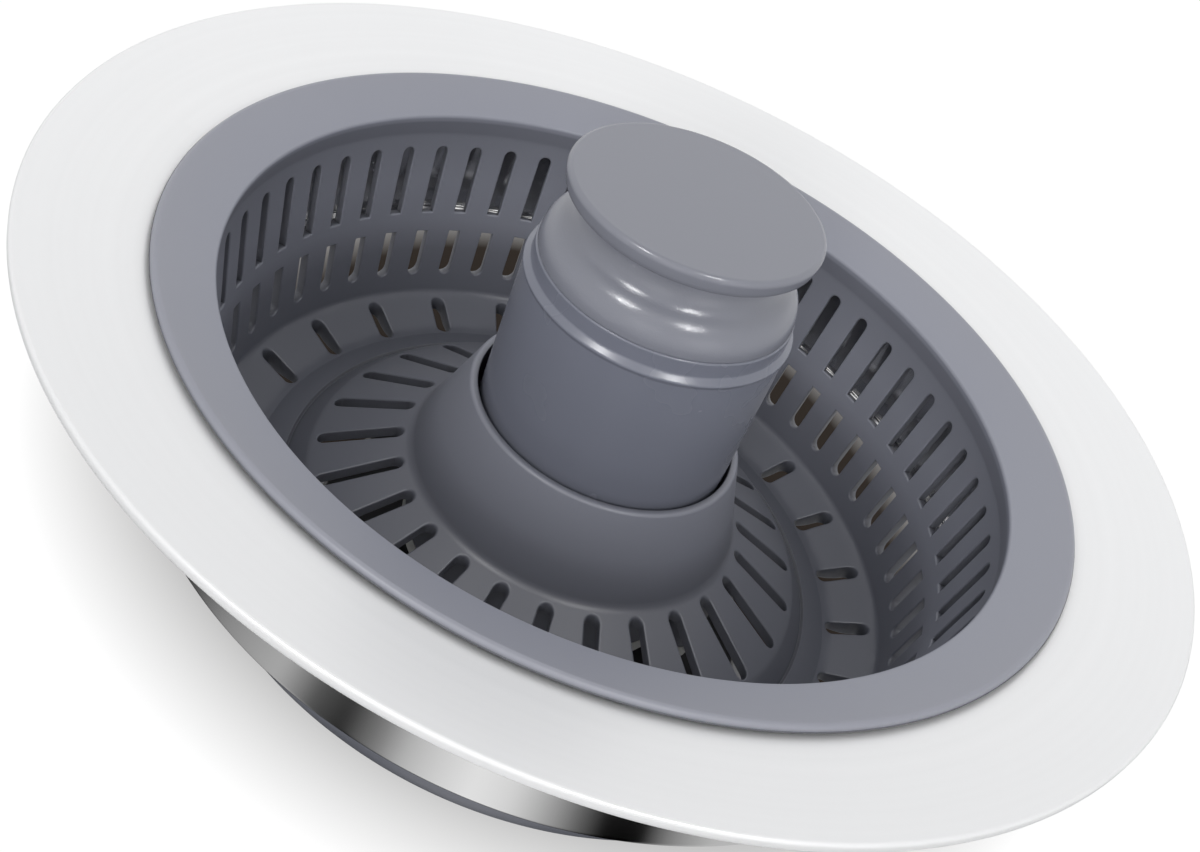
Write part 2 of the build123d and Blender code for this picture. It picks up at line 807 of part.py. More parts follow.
# Stopper nut: a hexagon that holds the stopper on the rod.
with BuildPart() as stopper_nut:
    with BuildSketch(Plane.XY.offset(nut_foot)):
        RegularPolygon(stopper_nut_radius, 6)
        Circle(bolt_hole, mode=Mode.SUBTRACT)
    extrude(amount=stopper_nut_height)
stopper_nut.part.label = "stopper_nut"
export_step(stopper_nut.part, "parts/stopper_nut.step")
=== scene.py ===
import json
import math
import bpy
from mathutils import Matrix, Vector


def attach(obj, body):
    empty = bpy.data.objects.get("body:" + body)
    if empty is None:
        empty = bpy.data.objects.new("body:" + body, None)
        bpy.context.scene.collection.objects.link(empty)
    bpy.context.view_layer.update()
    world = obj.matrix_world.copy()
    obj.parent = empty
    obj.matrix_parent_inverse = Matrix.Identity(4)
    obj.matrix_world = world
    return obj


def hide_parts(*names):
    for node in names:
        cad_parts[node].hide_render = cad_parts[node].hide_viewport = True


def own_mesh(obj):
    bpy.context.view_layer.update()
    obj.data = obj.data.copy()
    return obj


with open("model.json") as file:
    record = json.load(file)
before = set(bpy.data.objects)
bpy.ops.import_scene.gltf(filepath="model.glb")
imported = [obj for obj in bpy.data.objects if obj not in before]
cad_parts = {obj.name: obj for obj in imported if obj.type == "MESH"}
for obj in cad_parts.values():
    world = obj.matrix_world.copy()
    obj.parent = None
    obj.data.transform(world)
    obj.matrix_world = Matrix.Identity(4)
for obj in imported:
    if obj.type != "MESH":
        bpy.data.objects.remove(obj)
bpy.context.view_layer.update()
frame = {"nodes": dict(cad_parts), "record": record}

# Camera and stage
# The strainer is seen from above and in front, with the camera rolled, so that it seems to lean.
# It stands over a plain white floor in soft studio light.
view_right = Vector((0.914139, 0.205761, 0.349302))
view_down = Vector((0.402547, -0.562765, -0.721978))
view_ahead = Vector((0.048020, 0.800599, -0.597273))
camera_data = bpy.data.cameras.new("camera")
camera_data.sensor_width = 36.0
camera_data.lens = 38.864
camera_data.clip_start = 0.005
camera = bpy.data.objects.new("camera", camera_data)
bpy.context.collection.objects.link(camera)
turned_view = Matrix((view_right, -view_down, -view_ahead)).transposed().to_4x4()
camera.matrix_world = Matrix.Translation((-0.006264, -0.103433, 0.066810)) @ turned_view
bpy.context.scene.camera = camera
bpy.context.scene.view_settings.view_transform = "Standard"


def put(nodes, kind, place=(0, 0), **values):
    """Adds a shader node, places it and sets its inputs by name."""
    node = nodes.new(kind)
    node.location = place
    for name, value in values.items():
        node.inputs[name.replace("_", " ")].default_value = value
    return node


world = bpy.data.worlds.new("studio")
bpy.context.scene.world = world
world.use_nodes = True
world_nodes = world.node_tree.nodes
world_links = world.node_tree.links
world_nodes.clear()
light_path = put(world_nodes, "ShaderNodeLightPath", (-600, 200))
seen_white = put(world_nodes, "ShaderNodeBackground", (-200, 100), Color=(1, 1, 1, 1), Strength=1.0)
mirrored = put(world_nodes, "ShaderNodeBackground", (-200, -60), Color=(1, 1, 1, 1), Strength=1.03)
studio_fill = put(world_nodes, "ShaderNodeBackground", (-200, -220), Color=(0.97, 0.98, 1, 1))
# The room's light comes from low softboxes all round, so it is weaker overhead
world_coords = put(world_nodes, "ShaderNodeTexCoord", (-1000, -220))
world_parts = put(world_nodes, "ShaderNodeSeparateXYZ", (-800, -220))
fill_by_height = put(world_nodes, "ShaderNodeMapRange", (-500, -220), From_Min=0.6, From_Max=0.9)
fill_by_height.inputs["To Min"].default_value = 0.76
fill_by_height.inputs["To Max"].default_value = 0.33
world_links.new(world_coords.outputs["Generated"], world_parts.inputs[0])
world_links.new(world_parts.outputs[2], fill_by_height.inputs["Value"])
world_links.new(fill_by_height.outputs[0], studio_fill.inputs["Strength"])
mirror_mix = put(world_nodes, "ShaderNodeMixShader", (0, -60))
world_mix = put(world_nodes, "ShaderNodeMixShader", (200, 100))
world_out = put(world_nodes, "ShaderNodeOutputWorld", (400, 100))
world_links.new(light_path.outputs["Is Glossy Ray"], mirror_mix.inputs[0])
world_links.new(studio_fill.outputs[0], mirror_mix.inputs[1])
world_links.new(mirrored.outputs[0], mirror_mix.inputs[2])
world_links.new(light_path.outputs["Is Camera Ray"], world_mix.inputs[0])
world_links.new(mirror_mix.outputs[0], world_mix.inputs[1])
world_links.new(seen_white.outputs[0], world_mix.inputs[2])
world_links.new(world_mix.outputs[0], world_out.inputs[0])

floor_level = -0.0412
bpy.ops.object.select_all(action="DESELECT")
bpy.ops.mesh.primitive_plane_add(size=6.0)
floor = bpy.context.object
floor.name = "floor"
floor.data.transform(Matrix.Translation((0, 0, floor_level)))
floor_finish = bpy.data.materials.new("floor_white")
floor_finish.use_nodes = True
floor_nodes = floor_finish.node_tree.nodes
floor_links = floor_finish.node_tree.links
floor_nodes.clear()
floor_path = put(floor_nodes, "ShaderNodeLightPath", (-900, 400))
floor_share = put(floor_nodes, "ShaderNodeMath", (-600, 400))
floor_share.operation = "MULTIPLY"
floor_share.inputs[1].default_value = 0.8
floor_plain = put(floor_nodes, "ShaderNodeBsdfDiffuse", (-300, 200), Color=(0.4, 0.4, 0.4, 1))
floor_bright = put(floor_nodes, "ShaderNodeEmission", (-300, 340), Color=(1, 1, 1, 1), Strength=1.2)
floor_mix = put(floor_nodes, "ShaderNodeMixShader", (0, 300))
# A painted shadow, soft-edged and dark brown, lies on the floor where the view through the slots reaches
# it. In glossy rays the floor glows with bands round the axis, a painted reflection standing in for the
# dark and bright cards of a studio, and its underside lets the view through
floor_coords = put(floor_nodes, "ShaderNodeTexCoord", (-1500, -100))
floor_shadow_distance = put(floor_nodes, "ShaderNodeVectorMath", (-1300, 0))
floor_shadow_distance.operation = "DISTANCE"
floor_shadow_distance.inputs[1].default_value = (0.0025, 0.036, floor_level)
floor_painted_shadow_share = put(floor_nodes, "ShaderNodeMapRange", (-1100, 0), From_Min=0.045, From_Max=0.072)
floor_painted_shadow_share.inputs["To Min"].default_value = 1.0
floor_painted_shadow_share.inputs["To Max"].default_value = 0.0
# Painted shadow: a dark brown diffuse patch, mixed in by distance from a point under the basket
floor_painted_shadow = put(floor_nodes, "ShaderNodeBsdfDiffuse", (-300, 40), Color=(0.05, 0.04, 0.033, 1))
floor_shadow_mix = put(floor_nodes, "ShaderNodeMixShader", (200, 200))
floor_parts = put(floor_nodes, "ShaderNodeSeparateXYZ", (-1300, -300))
floor_turn = put(floor_nodes, "ShaderNodeMath", (-1100, -300))
floor_turn.operation = "ARCTAN2"
floor_round = put(floor_nodes, "ShaderNodeMapRange", (-900, -300), From_Min=-math.pi, From_Max=math.pi)
floor_reflection_bands = put(floor_nodes, "ShaderNodeValToRGB", (-700, -300))
floor_reach = put(floor_nodes, "ShaderNodeVectorMath", (-1300, -480))
floor_reach.operation = "LENGTH"
floor_near = put(floor_nodes, "ShaderNodeMapRange", (-1100, -480), From_Min=0.054, From_Max=0.058)
floor_far = put(floor_nodes, "ShaderNodeMapRange", (-1100, -680), From_Min=0.08, From_Max=0.1)
floor_reflection_tones = put(floor_nodes, "ShaderNodeMix", (-500, -300))
floor_reflection_tones.data_type = "RGBA"
floor_reflection_tones.inputs["B"].default_value = (0.62, 0.62, 0.62, 1)
floor_painted_reflection = put(floor_nodes, "ShaderNodeEmission", (-300, -120))
floor_last = put(floor_nodes, "ShaderNodeMixShader", (400, 100))
floor_side = put(floor_nodes, "ShaderNodeNewGeometry", (400, 300))
floor_clear = put(floor_nodes, "ShaderNodeBsdfTransparent", (400, -60))
floor_seen = put(floor_nodes, "ShaderNodeMixShader", (600, 100))
floor_out = put(floor_nodes, "ShaderNodeOutputMaterial", (800, 100))
bands = floor_reflection_bands.color_ramp.elements
for band in bands:
    band.color = (0.16, 0.16, 0.16, 1)
# Painted reflection: grey tones by turn round the axis, which the floor emits only to glossy rays
painted_reflection_tones = (
    (-144, 0.06), (-134, 0.26), (-122, 0.42), (-115, 0.08), (-109, 0.015), (-103, 0.2), (-98, 0.5),
    (-93, 0.66), (-87, 0.82), (-81, 0.7), (-75, 0.38), (-70, 0.12), (-66, 0.0), (-59, 0.0),
    (-54, 0.25), (-46, 0.5),
)
for turn, tone in painted_reflection_tones:
    band = bands.new((turn + 180) / 360)
    band.color = (tone, tone, tone, 1)
floor_links.new(floor_path.outputs["Is Camera Ray"], floor_share.inputs[0])
floor_links.new(floor_share.outputs[0], floor_mix.inputs[0])
floor_links.new(floor_plain.outputs[0], floor_mix.inputs[1])
floor_links.new(floor_bright.outputs[0], floor_mix.inputs[2])
floor_links.new(floor_coords.outputs["Object"], floor_shadow_distance.inputs[0])
floor_links.new(floor_shadow_distance.outputs["Value"], floor_painted_shadow_share.inputs["Value"])
floor_links.new(floor_painted_shadow_share.outputs[0], floor_shadow_mix.inputs[0])
floor_links.new(floor_mix.outputs[0], floor_shadow_mix.inputs[1])
floor_links.new(floor_painted_shadow.outputs[0], floor_shadow_mix.inputs[2])
floor_links.new(floor_coords.outputs["Object"], floor_parts.inputs[0])
floor_links.new(floor_parts.outputs[1], floor_turn.inputs[0])
floor_links.new(floor_parts.outputs[0], floor_turn.inputs[1])
floor_links.new(floor_turn.outputs[0], floor_round.inputs["Value"])
floor_links.new(floor_round.outputs[0], floor_reflection_bands.inputs["Fac"])
floor_links.new(floor_coords.outputs["Object"], floor_reach.inputs[0])
floor_links.new(floor_reach.outputs["Value"], floor_near.inputs["Value"])
floor_links.new(floor_reach.outputs["Value"], floor_far.inputs["Value"])
floor_links.new(floor_far.outputs[0], floor_reflection_tones.inputs["Factor"])
floor_links.new(floor_reflection_bands.outputs["Color"], floor_reflection_tones.inputs["A"])
floor_links.new(floor_reflection_tones.outputs["Result"], floor_painted_reflection.inputs["Color"])
floor_links.new(floor_near.outputs[0], floor_painted_reflection.inputs["Strength"])
floor_links.new(floor_path.outputs["Is Glossy Ray"], floor_last.inputs[0])
floor_links.new(floor_shadow_mix.outputs[0], floor_last.inputs[1])
floor_links.new(floor_painted_reflection.outputs[0], floor_last.inputs[2])
floor_links.new(floor_side.outputs["Backfacing"], floor_seen.inputs[0])
floor_links.new(floor_last.outputs[0], floor_seen.inputs[1])
floor_links.new(floor_clear.outputs[0], floor_seen.inputs[2])
floor_links.new(floor_seen.outputs[0], floor_out.inputs[0])
floor.data.materials.append(floor_finish)


def add_lamp(name, place, size, power, spread=True, gloss=True):
    """Adds a square soft lamp that faces the object, for its spread light, its gloss or both."""
    lamp = bpy.data.lights.new(name, "AREA")
    lamp.shape = "SQUARE"
    lamp.size = size
    lamp.energy = power
    holder = bpy.data.objects.new(name, lamp)
    holder.visible_diffuse = spread
    holder.visible_glossy = gloss
    bpy.context.collection.objects.link(holder)
    away = Vector((0, 0, -0.01)) - Vector(place)
    holder.matrix_world = Matrix.Translation(place) @ away.to_track_quat("-Z", "Y").to_matrix().to_4x4()


add_lamp("front_low", (-0.06, -0.52, 0.2), 0.2, 0.85, gloss=False)
add_lamp("front_high", (-0.04, -0.36, 0.44), 0.15, 0.3, gloss=False)
add_lamp("right_low", (0.41, -0.41, 0.155), 0.3, 0.2)
add_lamp("back_lamp", (-0.02, 0.43, 0.37), 0.4, 0.65, gloss=False)
add_lamp("left_sparkle", (-0.236, -0.303, 0.59), 0.04, 1.5, spread=False)
add_lamp("right_sparkle", (0.256, -0.289, 0.59), 0.04, 1.5, spread=False)

# Drain flange
# A ring spun from satin stainless sheet. It dishes towards the basket, turns down into a drawn skirt
# and ends in a small lip. Its face keeps the faint rings that the lathe left.
MM = 0.001


def rounded(corners, closed=False):
    """Returns an outline's points, with an arc in place of each corner that has a radius."""
    points = []
    count = len(corners)
    for index, (radius, height, bend) in enumerate(corners):
        here = Vector((radius, height))
        inner = closed or 0 < index < count - 1
        if not bend or not inner:
            points.append(tuple(here))
            continue
        before = Vector(corners[index - 1][:2])
        after = Vector(corners[(index + 1) % count][:2])
        to_before = (before - here).normalized()
        to_after = (after - here).normalized()
        half = to_before.angle(to_after) / 2
        centre = here + (to_before + to_after).normalized() * (bend / math.sin(half))
        start = here + to_before * (bend / math.tan(half)) - centre
        sweep = start.angle_signed(here + to_after * (bend / math.tan(half)) - centre)
        steps = max(2, math.ceil(abs(sweep) / (2 * math.acos(1 - min(0.5, 0.006 / bend)))))
        for step in range(steps + 1):
            angle = -sweep * step / steps
            cosine = math.cos(angle)
            sine = math.sin(angle)
            points.append((
                centre.x + start.x * cosine - start.y * sine,
                centre.y + start.x * sine + start.y * cosine,
            ))
    return points


def finish_mesh(piece, sharp=35):
    """Merges a piece's doubles, turns its faces outwards and shades it."""
    bpy.ops.object.select_all(action="DESELECT")
    piece.select_set(True)
    bpy.context.view_layer.objects.active = piece
    bpy.ops.object.mode_set(mode="EDIT")
    bpy.ops.mesh.select_all(action="SELECT")
    bpy.ops.mesh.remove_doubles(threshold=0.000002)
    bpy.ops.mesh.normals_make_consistent(inside=False)
    bpy.ops.object.mode_set(mode="OBJECT")
    bpy.ops.object.shade_smooth_by_angle(angle=math.radians(sharp))
    bpy.ops.object.modifier_add(type="WEIGHTED_NORMAL")
    piece.modifiers[-1].keep_sharp = True
    bpy.ops.object.modifier_apply(modifier=piece.modifiers[-1].name)


def spin_piece(name, outline, steps, closed=True):
    """Spins an outline of radii and heights in millimetres about the drain's axis."""
    mesh = bpy.data.meshes.new(name)
    count = len(outline)
    sides = [(index, (index + 1) % count) for index in range(count if closed else count - 1)]
    mesh.from_pydata([(radius * MM, 0, height * MM) for radius, height in outline], sides, [])
    piece = bpy.data.objects.new(name, mesh)
    bpy.context.collection.objects.link(piece)
    bpy.ops.object.select_all(action="DESELECT")
    piece.select_set(True)
    bpy.context.view_layer.objects.active = piece
    bpy.ops.object.mode_set(mode="EDIT")
    bpy.ops.mesh.select_all(action="SELECT")
    bpy.ops.mesh.spin(steps=steps, angle=2 * math.pi, center=(0, 0, 0), axis=(0, 0, 1))
    bpy.ops.object.mode_set(mode="OBJECT")
    finish_mesh(piece)
    return piece


flange_outline = rounded([
    (55.0, 5.0, 0.28), (42.9, 1.152, 1.3), (42.9, -14.3, 0.3), (41.6, -14.3, 0.3),
    (41.6, -15.2, 0.3), (43.8, -15.2, 1.2), (43.8, 0.494, 0.4), (55.0, 4.056, 0.28),
], closed=True)
dressed_flange = spin_piece("dressed_flange", flange_outline, 384)


def new_material(name):
    """Makes a material and returns it with its nodes, links and main shader."""
    material = bpy.data.materials.new(name)
    material.use_nodes = True
    nodes = material.node_tree.nodes
    return material, nodes, material.node_tree.links, nodes["Principled BSDF"]


def new_group(name, inputs, outputs):
    """Makes a shader node group with plain value inputs and the outputs named."""
    group = bpy.data.node_groups.new(name, "ShaderNodeTree")
    for label, value in inputs:
        socket = group.interface.new_socket(label, in_out="INPUT", socket_type="NodeSocketFloat")
        socket.default_value = value
    for label, kind in outputs:
        group.interface.new_socket(label, in_out="OUTPUT", socket_type=kind)
    entry = put(group.nodes, "NodeGroupInput", (-900, 0))
    leave = put(group.nodes, "NodeGroupOutput", (700, 0))
    return group, group.nodes, group.links, entry, leave


# The rings that turning leaves: noise that changes along the radius and hardly round the axis
rings, nodes, links, entry, leave = new_group(
    "turning_rings", [("Fineness", 9000.0), ("Wander", 0.35)],
    [("Height", "NodeSocketFloat"), ("Streak", "NodeSocketFloat")],
)
coords = put(nodes, "ShaderNodeTexCoord", (-900, 300))
split = put(nodes, "ShaderNodeSeparateXYZ", (-700, 300))
square_x = put(nodes, "ShaderNodeMath", (-520, 380))
square_x.operation = "MULTIPLY"
square_y = put(nodes, "ShaderNodeMath", (-520, 240))
square_y.operation = "MULTIPLY"
squares = put(nodes, "ShaderNodeMath", (-360, 320))
radius = put(nodes, "ShaderNodeMath", (-220, 320))
radius.operation = "SQRT"
turn_angle = put(nodes, "ShaderNodeMath", (-520, 80))
turn_angle.operation = "ARCTAN2"
ring_step = put(nodes, "ShaderNodeMath", (-60, 320))
ring_step.operation = "MULTIPLY"
wander = put(nodes, "ShaderNodeMath", (-60, 120))
wander.operation = "MULTIPLY"
place = put(nodes, "ShaderNodeCombineXYZ", (100, 260))
fine = put(nodes, "ShaderNodeTexNoise", (260, 320), Scale=1.0, Detail=3.0, Roughness=0.6)
broad = put(nodes, "ShaderNodeTexNoise", (260, 60), Scale=0.11, Detail=2.0, Roughness=0.5)
links.new(coords.outputs["Object"], split.inputs[0])
links.new(split.outputs[0], square_x.inputs[0])
links.new(split.outputs[0], square_x.inputs[1])
links.new(split.outputs[1], square_y.inputs[0])
links.new(split.outputs[1], square_y.inputs[1])
links.new(square_x.outputs[0], squares.inputs[0])
links.new(square_y.outputs[0], squares.inputs[1])
links.new(squares.outputs[0], radius.inputs[0])
links.new(split.outputs[1], turn_angle.inputs[0])
links.new(split.outputs[0], turn_angle.inputs[1])
links.new(radius.outputs[0], ring_step.inputs[0])
links.new(entry.outputs["Fineness"], ring_step.inputs[1])
links.new(turn_angle.outputs[0], wander.inputs[0])
links.new(entry.outputs["Wander"], wander.inputs[1])
links.new(ring_step.outputs[0], place.inputs[0])
links.new(wander.outputs[0], place.inputs[1])
links.new(split.outputs[2], place.inputs[2])
links.new(place.outputs[0], fine.inputs["Vector"])
links.new(place.outputs[0], broad.inputs["Vector"])
links.new(fine.outputs[0], leave.inputs["Height"])
links.new(broad.outputs[0], leave.inputs["Streak"])

satin_steel, nodes, links, shader = new_material("satin_steel")
ring_marks = put(nodes, "ShaderNodeGroup", (-1100, 0))
ring_marks.node_tree = rings
steel_coords = put(nodes, "ShaderNodeTexCoord", (-1300, 500))
steel_parts = put(nodes, "ShaderNodeSeparateXYZ", (-1100, 500))
# The face is finely blasted, so it scatters light, while the drawn skirt below it stays bright. The
# one passes into the other over a millimetre at the sink's level
skirt_top = {"From_Min": -0.0002, "From_Max": 0.0008}
streak_span = {"From_Min": 0.3, "From_Max": 0.7}
steel_metal = put(nodes, "ShaderNodeMapRange", (-500, 500), **skirt_top, To_Min=1.0, To_Max=0.18)
steel_gloss = put(nodes, "ShaderNodeMapRange", (-700, 100), **skirt_top, To_Min=-0.21, To_Max=0.0)
steel_rough = put(nodes, "ShaderNodeMapRange", (-700, -140), **streak_span, To_Min=0.3, To_Max=0.38)
steel_sum = put(nodes, "ShaderNodeMath", (-400, 0))
steel_tone = put(nodes, "ShaderNodeMapRange", (-500, 260), **streak_span, To_Min=0.91, To_Max=0.93)
steel_bump = put(nodes, "ShaderNodeBump", (-500, -300), Strength=0.06, Distance=0.00002)
links.new(steel_coords.outputs["Object"], steel_parts.inputs[0])
links.new(steel_parts.outputs[2], steel_metal.inputs["Value"])
links.new(steel_parts.outputs[2], steel_gloss.inputs["Value"])
links.new(ring_marks.outputs["Streak"], steel_rough.inputs["Value"])
links.new(ring_marks.outputs["Streak"], steel_tone.inputs["Value"])
links.new(ring_marks.outputs["Height"], steel_bump.inputs["Height"])
links.new(steel_gloss.outputs[0], steel_sum.inputs[0])
links.new(steel_rough.outputs[0], steel_sum.inputs[1])
links.new(steel_tone.outputs[0], shader.inputs["Base Color"])
links.new(steel_metal.outputs[0], shader.inputs["Metallic"])
links.new(steel_sum.outputs[0], shader.inputs["Roughness"])
links.new(steel_bump.outputs[0], shader.inputs["Normal"])
dressed_flange.data.materials.append(satin_steel)
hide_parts("drain_flange")
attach(dressed_flange, "drain_body")

# Strainer basket
# One moulding of blue-grey plastic with a low sheen. Its edges are softly rounded, and each slot's
# mouth is broken by a small round on both faces, as a polished mould leaves it.
basket_outline = rounded([
    (44.6, 1.993, 0.25), (44.6, 2.793, 0.5), (38.95, 0.293, 0.35), (39.471, -2.2, 1.5),
    (37.12, -23.0, 1.0), (32.6, -25.0, 1.0), (31.6, -25.0, 0.3), (28.95, -24.15, 0.08),
    (28.7, -24.45, 0.08), (26.7, -22.2, 2.0), (17.4, -17.5, 1.5), (14.05, -8.3, 0.45),
    (13.3, -8.3, 0.12), (13.3, -11.3, 0), (14.4, -17.5, 0), (14.4, -25.9, 0.2),
    (15.8, -25.9, 0.2), (15.8, -18.036, 0.4), (26.7, -23.545, 1.0), (31.6, -26.2, 1.0),
    (38.1, -26.2, 5.3), (40.8, -1.057, 0.3), (42.9, 1.452, 0.3),
], closed=True)
outline_count = len(basket_outline)
basket_points = []
basket_faces = []


def find_side(place):
    """Returns the index of the outline's side that a place lies on."""
    def slack(index):
        one = basket_outline[index]
        other = basket_outline[(index + 1) % outline_count]
        return math.dist(one, place) + math.dist(place, other) - math.dist(one, other)

    return min(range(outline_count), key=slack)


def cut_chain(first, last):
    """Returns the outline's points from one place on it to another, with both places."""
    index = find_side(first)
    end = find_side(last)
    points = [first]
    while index != end:
        index = (index + 1) % outline_count
        points.append(basket_outline[index])
    return points + [last]


def height_between(first, last):
    """Returns a function that gives the outline's height at a radius between two corners."""
    sides = sorted((find_side(first), find_side(last)))
    points = sorted(basket_outline[sides[0]:sides[1] + 2])

    def height(radius):
        for (near, low), (far, high) in zip(points, points[1:]):
            if near <= radius <= far and far > near:
                return low + (high - low) * (radius - near) / (far - near)
        return points[0][1]

    return height


def add_point(angle, radius, height):
    """Adds a point of the basket by its angle, radius and height, and returns its index."""
    place = (radius * math.cos(angle) * MM, radius * math.sin(angle) * MM, height * MM)
    basket_points.append(place)
    return len(basket_points) - 1


def join_loops(first, second):
    """Joins two closed loops of as many points with four-sided faces."""
    for index, point in enumerate(first):
        after = (index + 1) % len(first)
        basket_faces.append((point, first[after], second[after], second[index]))


def add_ring(place, count, start):
    """Adds a ring of points round the axis and returns its start, step and points."""
    step = 2 * math.pi / count
    start = start % step
    return start, step, [add_point(start + step * index, *place) for index in range(count)]


def join_rings(first, second):
    """Joins two rings, also where their counts or starts differ."""
    start_a, step_a, ring_a = first
    start_b, step_b, ring_b = second
    if len(ring_a) == len(ring_b):
        shift = round((start_a - start_b) / step_b)
        join_loops(ring_a, ring_b[shift:] + ring_b[:shift])
        return
    at_a = 0
    at_b = 0
    while at_a < len(ring_a) or at_b < len(ring_b):
        here_a = ring_a[at_a % len(ring_a)]
        here_b = ring_b[at_b % len(ring_b)]
        ahead = start_a + step_a * (at_a + 1) <= start_b + step_b * (at_b + 1)
        if at_b == len(ring_b) or (at_a < len(ring_a) and ahead):
            at_a += 1
            basket_faces.append((here_a, ring_a[at_a % len(ring_a)], here_b))
        else:
            at_b += 1
            basket_faces.append((here_a, ring_b[at_b % len(ring_b)], here_b))


def add_band(first, last, first_ring, other_rings):
    """Adds a plain turned band from one place on the outline to another."""
    chain = cut_chain(first, last)
    made = [add_ring(chain[0], *first_ring)] + [add_ring(place, *other_rings) for place in chain[1:]]
    for one, other in zip(made, made[1:]):
        join_rings(one, other)


def slot_loop(shape, grow, side_steps, end_steps):
    """Returns a slot's outline across and along, grown all round, from its right side onwards."""
    half_width, low, high, round_low, round_high = shape
    wide = half_width + grow
    lines = [
        low + half_width + (high - low - 2 * half_width) * step / side_steps
        for step in range(side_steps + 1)
    ]
    loop = [(wide, line) for line in lines]
    for step in range(end_steps + 1):
        angle = math.pi * (step + 1) / (end_steps + 2)
        if round_high:
            loop.append((wide * math.cos(angle), lines[-1] + wide * math.sin(angle)))
        else:
            loop.append((wide - 2 * wide * step / end_steps, high + grow))
    loop += [(-wide, line) for line in reversed(lines)]
    for step in range(end_steps + 1):
        angle = math.pi * (step + 1) / (end_steps + 2)
        if round_low:
            loop.append((-wide * math.cos(angle), lines[0] - wide * math.sin(angle)))
        else:
            loop.append((2 * wide * step / end_steps - wide, low - grow))
    return loop


def cell_loop(half_angle, low, high, side_steps, end_steps):
    """Returns the cell round a slot by angle and place along, in the order of a slot's outline."""
    lines = [low + (high - low) * (step + 1) / (side_steps + 2) for step in range(side_steps + 1)]
    turns = [half_angle - 2 * half_angle * step / end_steps for step in range(end_steps + 1)]
    loop = [(half_angle, line) for line in lines] + [(turn, high) for turn in turns]
    return loop + [(-half_angle, line) for line in reversed(lines)] + [(-turn, low) for turn in turns]


slot_round = 0.17
slot_margin = 0.23
mouth_steps = [(slot_margin, 0), (slot_round, 0), (slot_round * 0.29, slot_round * 0.29), (0, slot_round)]
wall_slots = 56
floor_slots = 26
wall_inside = (36.9, -25.0)
wall_outside = (38.1, -26.2)
wall_widening = 2.7
wall_top = -1.057
outward_flare = 0.28


def wall_radius(height, foot, drop):
    """Radius of the wall's face at a height, from its foot's radius and its foot's height."""
    return foot + wall_widening * (height - drop) / (wall_top - drop)


def add_wall_slot(turn, low, high, shape):
    """Adds a cell of the wall with its slot, on both faces and through the wall."""
    mouths = []
    for foot, drop, way, flare in ((*wall_inside, 1, 0), (*wall_outside, -1, outward_flare)):
        loops = [[
            (angle, wall_radius(line, foot, drop), line)
            for angle, line in cell_loop(math.pi / wall_slots, low, high, 3, 7)
        ]]
        for grow, depth in mouth_steps:
            loops.append([
                (
                    math.asin(across / wall_radius(line, foot, drop)),
                    wall_radius(line, foot, drop) + way * depth, line,
                )
                for across, line in slot_loop(shape, grow + flare, 3, 7)
            ])
        made = [[add_point(turn + angle, radius, line) for angle, radius, line in loop] for loop in loops]
        for one, other in zip(made, made[1:]):
            join_loops(one, other)
        mouths.append(made[-1])
    join_loops(*mouths)


def add_floor_slot(turn, low, high, shape, side_steps):
    """Adds a cell of the floor with its slot, on both faces and through the floor."""
    mouths = []
    for height, way in ((floor_inside, -1), (floor_outside, 1)):
        cell = cell_loop(math.pi / floor_slots, low, high, side_steps, 16)
        loops = []
        for grow, depth in mouth_steps:
            loops.append([
                (math.atan2(across, along), math.hypot(across, along), way * depth)
                for across, along in slot_loop(shape, grow, side_steps, 16)
            ])
        between = [((a + c) / 2, (b + d) / 2, 0) for (a, b), (c, d, depth) in zip(cell, loops[0])]
        loops = [[(angle, along, 0) for angle, along in cell], between] + loops
        made = [
            [add_point(turn + angle, along, height(along) + depth) for angle, along, depth in loop]
            for loop in loops
        ]
        for one, other in zip(made, made[1:]):
            join_loops(one, other)
        mouths.append(made[-1])
    join_loops(*mouths)


wall_turn = math.radians(174.07)
ledge_turn = math.radians(171.2)
cone_turn = math.radians(150.7)
wall_ring = (7 * wall_slots, wall_turn - math.pi / wall_slots)
ledge_ring = (16 * floor_slots, ledge_turn - math.pi / floor_slots)
cone_ring = (16 * floor_slots, cone_turn - math.pi / floor_slots)
wall_high, wall_middle, wall_low = -2.6, -13.35, -21.05
ledge_inner, ledge_outer = 31.68, 36.95
cone_inner, cone_outer = 17.96, 26.5
upper_slot = (0.7, -12.11, -3.81, False, True)
lower_slot = (0.7, -20.41, -14.61, True, False)
ledge_slot = (0.85, 32.0, 36.4, True, True)
cone_slot = (0.75, 18.2, 26.1, True, True)
floor_inside = height_between((37.3, -21.6), (16.0, -13.655))
floor_outside = height_between((15.85, -18.06), (38.5, -22.47))
for index in range(wall_slots):
    turn = wall_turn + 2 * math.pi * index / wall_slots
    add_wall_slot(turn, wall_middle, wall_high, upper_slot)
    add_wall_slot(turn, wall_low, wall_middle, lower_slot)
for index in range(floor_slots):
    turn = 2 * math.pi * index / floor_slots
    add_floor_slot(ledge_turn + turn, ledge_inner, ledge_outer, ledge_slot, 9)
    add_floor_slot(cone_turn + turn, cone_inner, cone_outer, cone_slot, 6)
wall_top_in = (wall_radius(wall_high, *wall_inside), wall_high)
wall_top_out = (wall_radius(wall_high, *wall_outside), wall_high)
wall_foot_in = (wall_radius(wall_low, *wall_inside), wall_low)
wall_foot_out = (wall_radius(wall_low, *wall_outside), wall_low)
add_band(wall_top_out, wall_top_in, wall_ring, wall_ring)
add_band(wall_foot_in, (ledge_outer, floor_inside(ledge_outer)), wall_ring, ledge_ring)
add_band(
    (ledge_inner, floor_inside(ledge_inner)), (cone_outer, floor_inside(cone_outer)),
    ledge_ring, cone_ring,
)
